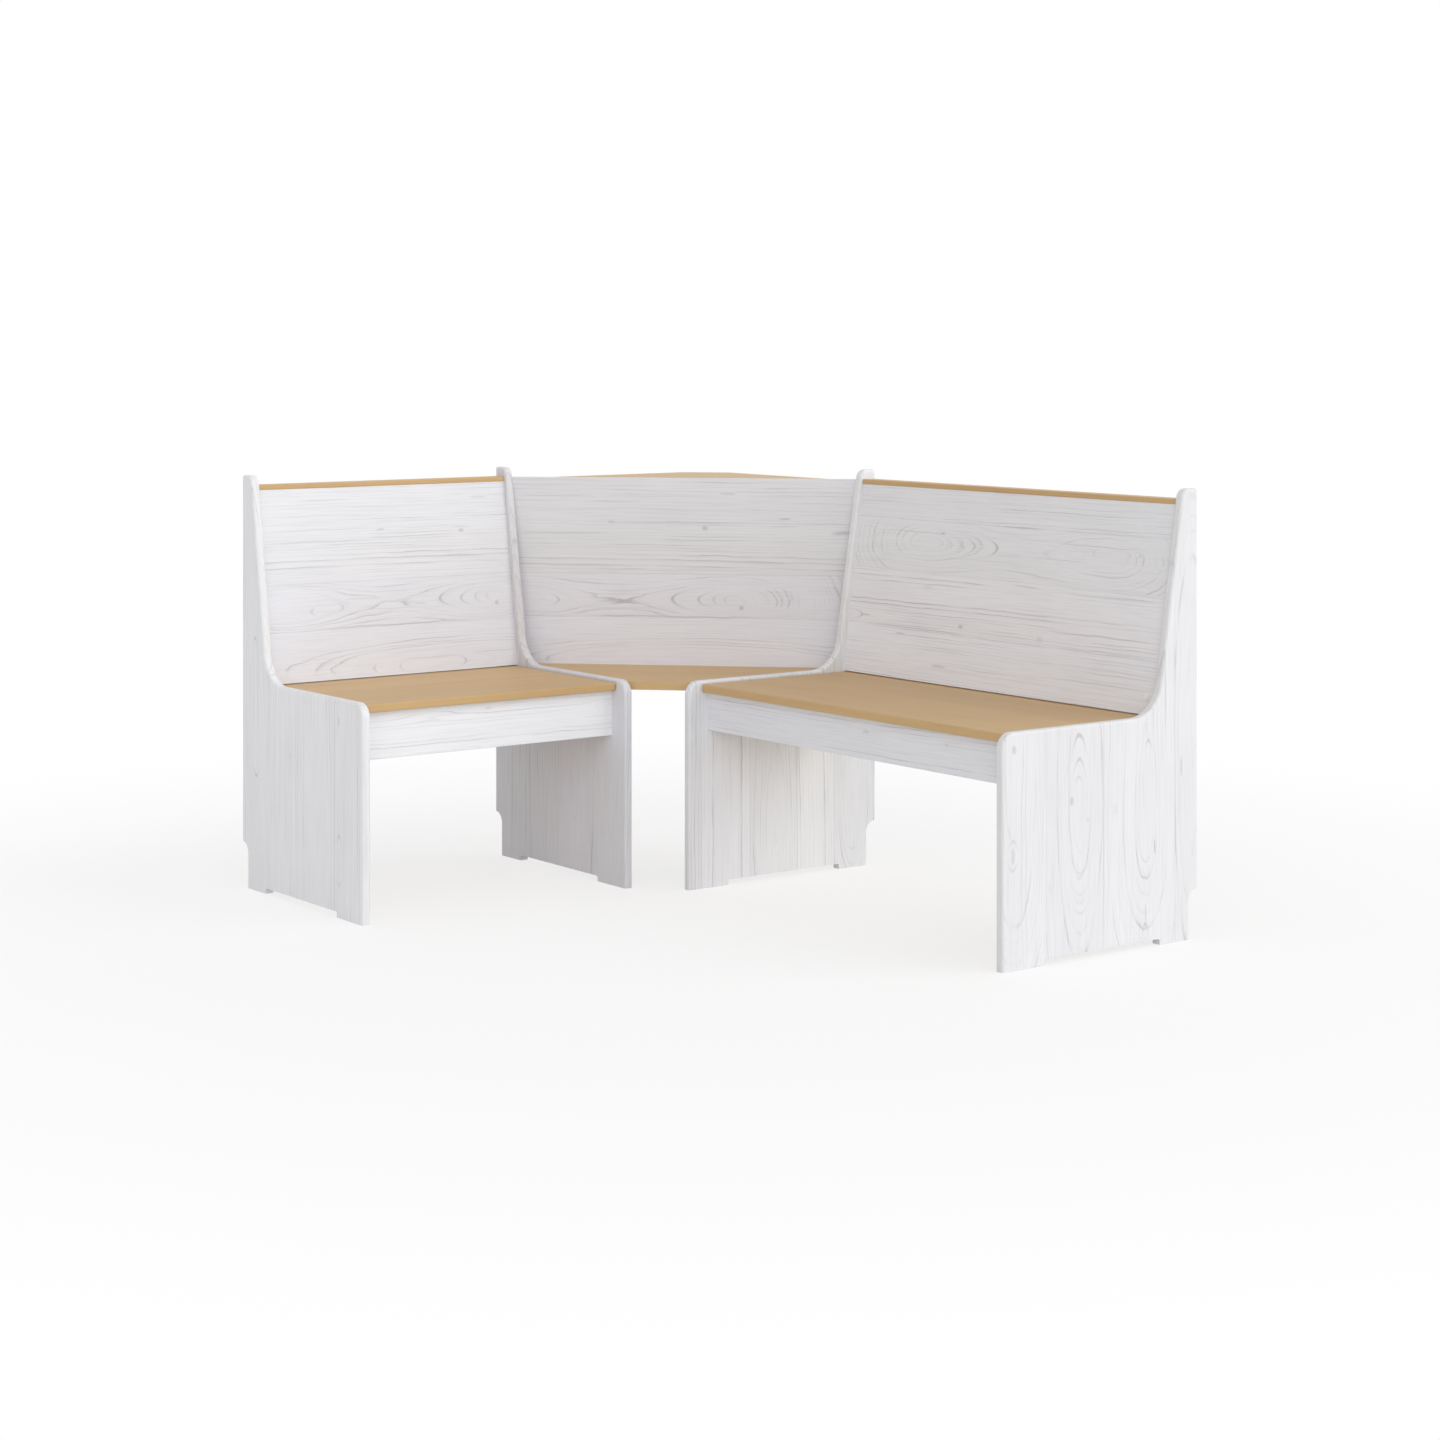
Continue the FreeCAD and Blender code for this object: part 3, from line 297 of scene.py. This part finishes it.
def makeBoardWood(nodeName, board):
    finish = finishes[board["finish"]]
    axes, middle, half = boardAxes(nodeName, board["along"], board["face"])
    material, tree = newMaterial(nodeName + "_wood")
    place = addNode(tree, "ShaderNodeTexCoord").outputs["Object"]
    position = addNode(tree, "ShaderNodeMapping", {
        "Vector": place, "Location": tuple(middle), "Scale": (0.001, 0.001, 0.001),
        "Rotation": Matrix(axes.T.tolist()).to_euler(),
    }, vector_type="TEXTURE").outputs[0]
    rng = np.random.default_rng(board["seed"])
    staves = board.get("staves") or randomStaves(rng, half[1])
    split = addNode(tree, "ShaderNodeSeparateXYZ", {0: position}).outputs
    width = half[1] * 2 + 4
    share = calc(tree, "ADD", calc(tree, "DIVIDE", split[1], width), 0.5)
    shapes, shades = [], []
    for start, heartAt, (deep, slope, curve), toneAndPaintedLight in staves:
        spot = (start + width / 2) / width
        shape = (heartAt / heartRange, deep / depthRange, slope, curve / curveRange)
        shapes.append((spot, tuple(0.5 + value for value in shape)))
        shades.append((spot, (*(level / shadeRange for level in toneAndPaintedLight), 1.0)))
    ramp = rampNode(tree, share, shapes)
    centred = vecCalc(tree, "SUBTRACT", ramp["Color"], (0.5, 0.5, 0.5))
    shape = addNode(tree, "ShaderNodeSeparateXYZ", {0: centred}).outputs
    curve = calc(tree, "MULTIPLY", calc(tree, "SUBTRACT", ramp["Alpha"], 0.5), curveRange)
    slope = calc(tree, "MULTIPLY_ADD", curve, split[0], shape[2])
    depth = calc(tree, "MULTIPLY_ADD", slope, split[0], calc(tree, "MULTIPLY", shape[1], depthRange))
    swirl = 0.0
    for u, v, reachAlong, reachAcross, rings in board.get("swirls", ()):
        swirl = useGroup(tree, swirlGroup, {
            "Position": position, "Centre": (u, v, 0.0), "Reach": (reachAlong, reachAcross, 1e5),
            "Rings": -rings, "Before": swirl,
        })["Rings"]
    grain = useGroup(tree, ringGroup, {
        "Position": position, "Seed": float(board["seed"]), "Swirl": swirl, "Depth": depth,
        "Heart": calc(tree, "MULTIPLY", shape[0], heartRange),
        "RingWidth": finish["ringWidth"], "Warp": 8.0, "Bunching": board.get("bunching", 2.6),
    })
    amount = calc(tree, "MULTIPLY", grain["Line"], finish["line"])
    amount = calc(tree, "MULTIPLY_ADD", grain["Fibre"], finish["fibre"], amount)
    amount = calc(tree, "MULTIPLY_ADD", grain["Cloud"], finish["cloud"], amount)
    marks = board.get("marks", ())
    if marks:
        waver = addNode(tree, "ShaderNodeTexNoise", {
            "Vector": vecCalc(tree, "MULTIPLY", position, (1 / 60, 1 / 200, 0.0)),
            "Scale": 1.0, "Detail": 3.0,
        }).outputs["Fac"]
        rise = calc(tree, "MULTIPLY_ADD", waver, 7.0, -3.5)
        lift = addNode(tree, "ShaderNodeCombineXYZ", {1: rise}).outputs[0]
        bent = vecCalc(tree, "ADD", position, lift)
        found = 0.0
        for u, v, reachAlong, reachAcross, strength, *bend in marks:
            found = useGroup(tree, markGroup, {
                "Position": bent, "Centre": (u, v, 0.0), "Reach": (reachAlong, reachAcross, 1e5),
                "Strength": strength, "Bend": sum(bend), "Before": found,
            })["Marks"]
        amount = calc(tree, "MAXIMUM", amount, calc(tree, "MULTIPLY", found, finish["mark"]))
    for start in [row[0] for row in staves[1:]]:
        gap = calc(tree, "MULTIPLY", calc(tree, "SUBTRACT", split[1], start), 1.2)
        near = calc(tree, "EXPONENT", calc(tree, "MULTIPLY", calc(tree, "MULTIPLY", gap, gap), -1.0))
        amount = calc(tree, "MULTIPLY_ADD", near, finish["seam"], amount)
    amount = calc(tree, "MINIMUM", amount, 1.0)
    colour = blendColour(tree, amount, (*finish["wood"], 1), (*finish["grain"], 1))
    # painted light and shade: the stave tones and the board's colour multiplier make whole staves and boards
    # lighter, darker or bluer to stand in for how light falls on them, besides their own tone
    tint = vecCalc(tree, "MULTIPLY", rampNode(tree, share, shades)["Color"], (shadeRange,) * 3)
    tint = vecCalc(tree, "MULTIPLY", tint, board.get("toneAndPaintedLight", (1.0, 1.0, 1.0)))
    colour = vecCalc(tree, "MULTIPLY", colour, tint)
    height = calc(tree, "MULTIPLY_ADD", grain["Line"], -0.6, calc(tree, "MULTIPLY", grain["Fibre"], -0.25))
    bump = addNode(tree, "ShaderNodeBump", {
        "Height": height, "Strength": finish["relief"], "Distance": 0.0006,
    })
    rough = calc(tree, "MULTIPLY_ADD", grain["Line"], 0.12, finish["roughness"])
    shader = addNode(tree, "ShaderNodeBsdfPrincipled", {
        "Base Color": colour, "Roughness": rough, "Normal": bump.outputs[0], "IOR": 1.45,
    })
    addNode(tree, "ShaderNodeOutputMaterial", {"Surface": shader.outputs[0]})
    return material


def randomStaves(rng, halfWidth):
    rows = []
    start = -halfWidth - 3
    while start < halfWidth:
        width = rng.uniform(70, 130)
        heart = start + width * rng.choice((-0.9, 0.45, 0.55, 1.8))
        level = rng.uniform(0.96, 1.03)
        depth = (rng.uniform(30, 60), rng.uniform(-0.06, 0.06), rng.uniform(-4e-4, 2e-4))
        toneAndPaintedLight = (level, level * rng.uniform(0.99, 1.0), level * rng.uniform(0.98, 1.0))
        rows.append((start, heart, depth, toneAndPaintedLight))
        start += width
    return rows


alongX, alongY, upward = (1, 0, 0), (0, 1, 0), (0, 0, 1)
slant, slantOut = (0.70711, 0.70711, 0), (0.70711, -0.70711, 0)
towardsFront, towardsRight = (0, -1, 0), (1, 0, 0)

# every board: the way of its grain, the face that shows, and the figure the photograph shows on it, in mm from
# its middle. Marks are (along, across, reach along, reach across, strength, bend), swirls are the same with
# rings for strength. A board's colour multiplier is painted light and shade: boards that sit in shade are made
# darker and boards that catch more light lighter or bluer, though all are the same whitewashed pine
boards = {
    "short_backrest": {
        "finish": "whitewash", "along": alongY, "face": towardsRight, "seed": 3,
        "toneAndPaintedLight": (0.96, 0.972, 0.998), "bunching": 2.0,
        "staves": [
            (-200, -178, (-11, 0.125, 0.0), (1.0, 1.0, 1.03)),
            (-95, -47, (48.6, 0.0, -6.9e-4), (0.99, 0.99, 1.01)),
            (0, -70, (60, 0.03, 0.0), (1.0, 1.0, 1.0)),
        ],
        "marks": [
            (-180, 160, 105, 1.2, 0.32), (138, 158, 110, 1.1, 0.26), (-160, 137, 130, 1.1, 0.34),
            (-205, 122, 85, 1.0, 0.30), (-165, 108, 120, 1.4, 0.42), (100, 105, 75, 1.3, 0.38),
            (-160, 84, 130, 1.6, 0.55), (90, 82, 75, 1.3, 0.42), (-17, 103, 9, 2.6, 0.62),
            (177, 94, 6, 4, 0.72), (177, 102, 18, 1.3, 0.5), (223, 163, 22, 3, 0.42),
            (0, -93, 172, 1.7, 0.70), (-67, -37, 50, 1.5, 0.40), (-15, -60, 75, 1.4, 0.40),
            (66, -53, 14, 1.6, 0.5), (114, -46, 4, 19, 0.78, 0.09), (165, -47, 3.5, 17, 0.62, 0.10),
            (200, -46, 3, 14, 0.46, 0.10), (228, -46, 3, 12, 0.36, 0.10), (252, -62, 5, 6, 0.60, 0.10),
            (-117, -52, 3.5, 12, 0.52, -0.12), (-190, -57, 4, 8, 0.50, 0.12),
            (167, -178, 3.5, 11, 0.60, -0.12), (8, -180, 3, 11, 0.42, 0.10),
            (-54, -180, 3.5, 9, 0.50, 0.10), (88, -166, 75, 1.5, 0.45), (240, -163, 60, 1.5, 0.40),
        ],
    },
    # painted shade: this board is made darker, and its lowest stave bluer to offset the seat's warm bounce
    "corner_backrest": {
        "finish": "whitewash", "along": slant, "face": slantOut, "seed": 3,
        "toneAndPaintedLight": (0.96, 0.965, 0.982), "bunching": 2.0,
        "staves": [
            (-222, -172, (6, 0.125, 0.0), (1.02, 1.03, 1.08)),
            (-77, -41, (35.84, -0.1877, -6.9e-4), (0.985, 0.985, 1.02)),
            (15, -70, (60, 0.03, 0.0), (0.965, 0.967, 0.975)),
        ],
        "marks": [
            (-276, 180, 80, 1.3, 0.45), (-56, 180, 120, 1.1, 0.32), (0, 124, 178, 1.6, 0.55),
            (-256, 101, 98, 1.6, 0.60), (-153, 124, 9, 2.6, 0.62), (48, 113, 6, 5, 0.72),
            (96, 186, 18, 3, 0.42), (219, 134, 12, 2.2, 0.75), (215, 118, 35, 1.4, 0.45),
            (346, 105, 26, 4.5, 0.70), (-131, 25, 55, 1.5, 0.55), (60, 24, 120, 1.3, 0.40),
            (-8, -75, 182, 1.7, 0.70), (126, -55, 5, 5, 0.75), (-130, -29, 60, 1.4, 0.38),
            (-256, 150, 90, 1.1, 0.3), (-22, -38, 4, 19, 0.80, 0.09), (34, -38, 3.5, 17, 0.64, 0.10),
            (66, -38, 3, 14, 0.46, 0.10), (90, -38, 3, 12, 0.36, 0.10), (234, -31, 3, 20, 0.34, -0.06),
            (212, -31, 3, 15, 0.25, -0.06), (-267, -42, 3.5, 11, 0.52, -0.12),
            (-110, -58, 80, 1.3, 0.38), (-95, -48, 30, 1.4, 0.4),
        ],
    },
    # painted light: this board is made lighter and bluer, and its staves differ in tone, to offset the lids' warm
    # bounce and the light on it
    "long_backrest": {
        "finish": "whitewash", "along": alongX, "face": towardsFront, "seed": 5,
        "toneAndPaintedLight": (1.02, 1.026, 1.045), "bunching": 1.6,
        "staves": [
            (-200, -330, (50, 0.02, 0.0), (1.03, 1.035, 1.06)),
            (-92, -280, (60, -0.02, 0.0), (1.015, 1.01, 1.02)),
            (22, 84, (52.94, 0.03445, -6.5e-4), (0.975, 0.975, 0.975)),
            (128, 330, (60, 0.02, 0.0), (0.965, 0.965, 0.965)),
        ],
        "marks": [
            (-265, 104, 115, 1.2, 0.48), (-187, 104, 8, 2.6, 0.75), (260, 104, 112, 1.5, 0.50),
            (85, 106, 50, 1.1, 0.4), (155, 72, 80, 1.4, 0.42), (285, 9, 82, 1.8, 0.50),
            (72, 15, 38, 1.8, 0.55), (262, -37, 178, 1.1, 0.40), (290, -65, 150, 1.5, 0.72),
            (295, -94, 145, 1.4, 0.55), (-240, -92, 138, 1.6, 0.60), (-106, -78, 7, 5, 0.80),
            (-402, -76, 16, 1.8, 0.7), (-287, -106, 14, 2.0, 0.70), (-160, -162, 22, 3.6, 0.58),
            (-218, -6, 14, 4, 0.32), (122, -84, 8, 6, 0.42), (300, -153, 140, 1.5, 0.52),
            (310, -125, 145, 1.1, 0.38), (-298, -57, 38, 1.2, 0.38), (-22, 84, 4.5, 19, 0.78, -0.09),
            (-88, 84, 4, 17, 0.64, -0.10), (-128, 84, 3.5, 15, 0.52, -0.12),
            (-156, 83, 3, 13, 0.42, -0.12), (-184, 84, 3, 11, 0.34, -0.15),
            (-397, 80, 3, 22, 0.26, 0.05), (-375, 80, 3, 20, 0.20, 0.05),
            (372, 94, 3.5, 9, 0.46, -0.35), (247, 92, 3, 9, 0.36, 0.25), (345, 92, 3, 8, 0.40, -0.30),
            (-412, -76, 3.5, 10, 0.80, -0.28), (-60, 58, 120, 1.2, 0.34),
        ],
    },
    # painted shade: this panel is made darker to stand in for the light falling on its face
    "long_outer_side_panel": {
        "finish": "whitewash", "along": upward, "face": towardsRight, "seed": 9,
        "toneAndPaintedLight": (0.93, 0.93, 0.932), "bunching": 1.6,
        "staves": [
            (-244, -230, (40, 0.03, 2e-4), (1.0, 1.0, 1.0)),
            (-185, -110, (30, 0.05, -4e-4), (1.01, 1.01, 1.01)),
            (-4, 56, (31.4, 0.19, 0.0), (0.99, 0.99, 0.99)),
            (136, 215, (28, 0.02, 4e-4), (1.0, 1.0, 1.0)),
        ],
        "marks": [
            (-15, 57, 4.5, 19, 0.72, -0.10), (-58, 57, 4, 17, 0.55, -0.12),
            (-90, 58, 3, 14, 0.40, -0.12), (-334, 54, 3, 24, 0.28, 0.05),
            (-300, 54, 3, 24, 0.22, 0.05), (-262, 54, 3, 22, 0.30, 0.05),
            (-372, -109, 4, 10, 0.72, -0.35), (-352, -110, 16, 1.8, 0.62),
            (-39, -117, 4, 9, 0.65, -0.25), (-234, -133, 14, 2, 0.82), (-95, -202, 18, 3, 0.58),
            (-281, 129, 10, 3, 0.30), (-131, 76, 8, 5, 0.62), (-168, 36, 4, 4, 0.38),
            (-156, -33, 10, 2.4, 0.36), (-215, 217, 16, 5, 0.50), (-240, 217, 3.5, 13, 0.45, 0.12),
            (-188, 217, 3.5, 13, 0.45, -0.12), (-215, 196, 150, 1.6, 0.38),
            (-215, 186, 170, 1.4, 0.34), (-28, 214, 8, 5, 0.60), (-215, -4, 170, 1.3, 0.42),
            (-215, -14, 150, 1.1, 0.34), (-170, -50, 120, 1.0, 0.24),
        ],
    },
    # painted light: this panel is made a little lighter to stand in for the light falling on its face
    "short_outer_side_panel": {
        "finish": "whitewash", "along": upward, "face": towardsFront, "seed": 12,
        "toneAndPaintedLight": (1.02, 1.02, 1.025), "bunching": 2.0,
        "staves": [
            (-244, -330, (40, 0.02, 0.0), (1.0, 1.0, 1.0)),
            (-120, -60, (40, 0.08, 0.0), (1.01, 1.01, 1.01)),
            (14, -90, (50, 0.02, 0.0), (1.02, 1.02, 1.02)),
            (130, 180, (30, 0.06, 0.0), (0.99, 0.99, 0.99)),
        ],
        "marks": [
            (-259, -151, 4, 10, 0.55, -0.15), (-352, -152, 3.5, 10, 0.42, 0.12),
            (-184, 184, 4, 12, 0.60, 0.12), (91, 188, 4, 10, 0.58, -0.20), (-10, 178, 95, 1.5, 0.45),
            (-10, 197, 90, 1.3, 0.34), (-165, 20, 150, 1.5, 0.52), (-160, 85, 125, 1.3, 0.44),
            (-165, 110, 120, 1.4, 0.46), (-230, -133, 110, 1.3, 0.46), (-250, -168, 115, 1.3, 0.4),
            (-180, -12, 150, 1.2, 0.40), (-127, 43, 7, 3, 0.48), (-40, -151, 9, 3, 0.52),
            (-200, 51, 140, 1.1, 0.34),
        ],
    },
    "long_inner_side_panel": {
        "finish": "whitewash", "along": upward, "face": towardsRight, "seed": 15,
        "toneAndPaintedLight": (1.0, 1.015, 1.035),
    },
    # painted shade: this panel is made darker and bluer because it stands in shade under the short seat
    "short_inner_side_panel": {
        "finish": "whitewash", "along": upward, "face": towardsFront, "seed": 21,
        "toneAndPaintedLight": (0.87, 0.87, 0.905),
    },
    "long_apron": {
        "finish": "whitewash", "along": alongX, "face": towardsFront, "seed": 27,
        "toneAndPaintedLight": (0.965, 0.965, 0.99),
        "staves": [(-41, 90, (40, 0.02, 0.0), (1.0, 1.0, 1.0))],
        "marks": [(43, 13, 10, 4, 0.5), (272, 14, 7, 3, 0.5)],
    },
    # painted light: this apron is made lighter to make up for the shade under the short lid and between the panels
    "short_apron": {
        "finish": "whitewash", "along": alongY, "face": towardsRight, "seed": 31,
        "toneAndPaintedLight": (1.08, 1.085, 1.10),
        "staves": [(-48, -95, (40, 0.02, 0.0), (1.0, 1.0, 1.0))],
        "swirls": [(-129, 32, 60, 14, 1.5), (273, 24, 30, 9, 1.5)],
        "marks": [(-2, 32, 8, 3, 0.5)],
    },
    "long_rear_rail": {"finish": "whitewash", "along": alongX, "face": (0, 1, 0), "seed": 33},
    "short_rear_rail": {"finish": "whitewash", "along": alongY, "face": (-1, 0, 0), "seed": 35},
    "long_seat_lid": {"finish": "oakStain", "along": alongX, "face": upward, "seed": 41},
    "short_seat_lid": {"finish": "oakStain", "along": alongY, "face": upward, "seed": 43},
    "corner_seat": {"finish": "oakStain", "along": slant, "face": upward, "seed": 45},
    "corner_shelf": {"finish": "oakStain", "along": slant, "face": upward, "seed": 47},
    "long_top_cap": {"finish": "oakStain", "along": alongX, "face": upward, "seed": 49},
    "short_top_cap": {"finish": "oakStain", "along": alongY, "face": upward, "seed": 51},
    "long_storage_floor": {"finish": "barePine", "along": alongX, "face": upward, "seed": 53},
    "short_storage_floor": {"finish": "barePine", "along": alongY, "face": upward, "seed": 55},
    "long_lid_battens": {"finish": "barePine", "along": alongY, "face": (0, 0, -1), "seed": 57},
    "short_lid_battens": {"finish": "barePine", "along": alongX, "face": (0, 0, -1), "seed": 59},
    "long_seat_cleat": {"finish": "barePine", "along": alongY, "face": (-1, 0, 0), "seed": 61},
    "short_seat_cleat": {"finish": "barePine", "along": alongX, "face": (0, 1, 0), "seed": 63},
    "corner_seat_rear_cleat": {"finish": "barePine", "along": slant, "face": slantOut, "seed": 65},
    "corner_shelf_cleats": {"finish": "barePine", "along": alongY, "face": (0, 0, -1), "seed": 67},
    "corner_shelf_bracket": {"finish": "barePine", "along": upward, "face": slant, "seed": 69},
}

for nodeName, board in boards.items():
    nodes[nodeName].material_slots[0].material = makeBoardWood(nodeName, board)
print("boards finished:", len(boards))


# small parts
def makeBeech():
    material, tree = newMaterial("turned_beech")
    place = addNode(tree, "ShaderNodeTexCoord").outputs["Object"]
    fleck = addNode(tree, "ShaderNodeTexVoronoi", {
        "Vector": vecCalc(tree, "MULTIPLY", place, (180.0, 180.0, 900.0)), "Scale": 1.0,
    }, feature="F1").outputs["Distance"]
    streak = addNode(tree, "ShaderNodeTexNoise", {
        "Vector": place, "Scale": 260.0, "Detail": 3.0,
    }).outputs["Fac"]
    flecks = fade(tree, fleck, 0.25, 0.12, 0.0, 0.5)
    amount = calc(tree, "ADD", flecks, calc(tree, "MULTIPLY", streak, 0.35), clamp=True)
    colour = blendColour(tree, amount, (0.66, 0.45, 0.25, 1), (0.40, 0.22, 0.09, 1))
    bump = addNode(tree, "ShaderNodeBump", {"Height": streak, "Strength": 0.15, "Distance": 0.0003})
    shader = addNode(tree, "ShaderNodeBsdfPrincipled", {
        "Base Color": colour, "Roughness": 0.6, "Normal": bump.outputs[0], "IOR": 1.45,
    })
    addNode(tree, "ShaderNodeOutputMaterial", {"Surface": shader.outputs[0]})
    return material


def makeZinc():
    material, tree = newMaterial("bright_zinc")
    place = addNode(tree, "ShaderNodeTexCoord").outputs["Object"]
    cloud = addNode(tree, "ShaderNodeTexNoise", {
        "Vector": place, "Scale": 240.0, "Detail": 4.0,
    }).outputs["Fac"]
    brushed = addNode(tree, "ShaderNodeTexNoise", {
        "Vector": vecCalc(tree, "MULTIPLY", place, (300.0, 300.0, 4000.0)), "Scale": 1.0, "Detail": 2.0,
    }).outputs["Fac"]
    colour = blendColour(tree, cloud, (0.74, 0.75, 0.78, 1), (0.62, 0.62, 0.64, 1))
    rough = fade(tree, cloud, 0.3, 0.7, 0.24, 0.40)
    bump = addNode(tree, "ShaderNodeBump", {"Height": brushed, "Strength": 0.12, "Distance": 0.0001})
    shader = addNode(tree, "ShaderNodeBsdfPrincipled", {
        "Base Color": colour, "Roughness": rough, "Normal": bump.outputs[0], "Metallic": 1.0,
    })
    addNode(tree, "ShaderNodeOutputMaterial", {"Surface": shader.outputs[0]})
    return material


def makePlastic():
    material, tree = newMaterial("moulded_cap")
    place = addNode(tree, "ShaderNodeTexCoord").outputs["Object"]
    grit = addNode(tree, "ShaderNodeTexNoise", {
        "Vector": place, "Scale": 1800.0, "Detail": 2.0,
    }).outputs["Fac"]
    colour = blendColour(tree, grit, (0.90, 0.90, 0.89, 1), (0.84, 0.84, 0.83, 1))
    bump = addNode(tree, "ShaderNodeBump", {"Height": grit, "Strength": 0.08, "Distance": 0.0001})
    shader = addNode(tree, "ShaderNodeBsdfPrincipled", {
        "Base Color": colour, "Roughness": 0.38, "Normal": bump.outputs[0], "IOR": 1.46,
    })
    addNode(tree, "ShaderNodeOutputMaterial", {"Surface": shader.outputs[0]})
    return material


smallParts = {"beech_dowel": makeBeech(), "zinc_plated_steel": makeZinc(), "white_plastic": makePlastic()}
for nodeName, node in nodes.items():
    if nodeName not in boards:
        node.material_slots[0].material = smallParts[node.material_slots[0].material.name.split(".")[0]]
print("small parts finished:", len(nodes) - len(boards))


# studio: white surroundings, a pale floor that keeps the shadow, and wide soft lamps, given by compass turn and
# height in degrees
studio = {
    "skyStrength": 0.665,
    "floorColour": (0.90, 0.90, 0.90),
    "floorGlow": 0.70,
    "floorGlowEdges": (0.9, 2.6),
    "floorSpan": 14.0,
    "floorDrop": 0.0004,
    "lamps": [
        {"name": "key", "turn": 45, "height": 20, "strength": 1.19, "softness": 55},
        {"name": "side", "turn": -45, "height": 15, "strength": 0.60, "softness": 55},
        {"name": "high", "turn": 0, "height": 38, "strength": 0.24, "softness": 55},
    ],
}


def seenDirectly(tree):
    light = addNode(tree, "ShaderNodeLightPath").outputs
    seen = calc(tree, "MAXIMUM", light["Is Camera Ray"], light["Is Glossy Ray"])
    return calc(tree, "MAXIMUM", seen, light["Is Transmission Ray"])


def makeWorld():
    world = bpy.data.worlds.new("studio")
    world.use_nodes = True
    tree = world.node_tree
    tree.nodes.clear()
    sky = addNode(tree, "ShaderNodeBackground", {"Color": (1, 1, 1, 1), "Strength": studio["skyStrength"]})
    white = addNode(tree, "ShaderNodeBackground", {"Color": (1, 1, 1, 1), "Strength": 1.0})
    both = addNode(tree, "ShaderNodeMixShader", {
        0: seenDirectly(tree), 1: sky.outputs[0], 2: white.outputs[0],
    })
    addNode(tree, "ShaderNodeOutputWorld", {"Surface": both.outputs[0]})
    bpy.context.scene.world = world


def makeFloor():
    span = studio["floorSpan"]
    mesh = bpy.data.meshes.new("floor")
    corners = [(-span, -span, 0), (span, -span, 0), (span, span, 0), (-span, span, 0)]
    mesh.from_pydata(corners, [], [(0, 1, 2, 3)])
    floor = bpy.data.objects.new("floor", mesh)
    floor.location.z = -studio["floorDrop"]
    bpy.context.collection.objects.link(floor)
    material, tree = newMaterial("pale_floor")
    place = addNode(tree, "ShaderNodeTexCoord").outputs["Object"]
    away = vecCalc(tree, "LENGTH", place, out=1)
    paint = addNode(tree, "ShaderNodeBsdfDiffuse", {"Color": (*studio["floorColour"], 1)})
    glow = addNode(tree, "ShaderNodeEmission", {"Color": (1, 1, 1, 1), "Strength": 1.0})
    glowing = fade(tree, away, *studio["floorGlowEdges"], studio["floorGlow"], 1.0)
    amount = calc(tree, "MULTIPLY", seenDirectly(tree), glowing)
    both = addNode(tree, "ShaderNodeMixShader", {0: amount, 1: paint.outputs[0], 2: glow.outputs[0]})
    addNode(tree, "ShaderNodeOutputMaterial", {"Surface": both.outputs[0]})
    mesh.materials.append(material)


def placeLamps():
    for row in studio["lamps"]:
        data = bpy.data.lights.new(row["name"], "SUN")
        data.energy = row["strength"]
        data.angle = math.radians(row["softness"])
        turn, height = math.radians(row["turn"]), math.radians(row["height"])
        flat = math.cos(height)
        towards = Vector((math.cos(turn) * flat, math.sin(turn) * flat, math.sin(height)))
        holder = bpy.data.objects.new(row["name"], data)
        holder.location = towards * 6
        holder.rotation_euler = (-towards).to_track_quat("-Z", "Y").to_euler()
        bpy.context.collection.objects.link(holder)


makeWorld()
makeFloor()
placeLamps()
bpy.context.scene.view_settings.view_transform = "Standard"
print("studio placed")
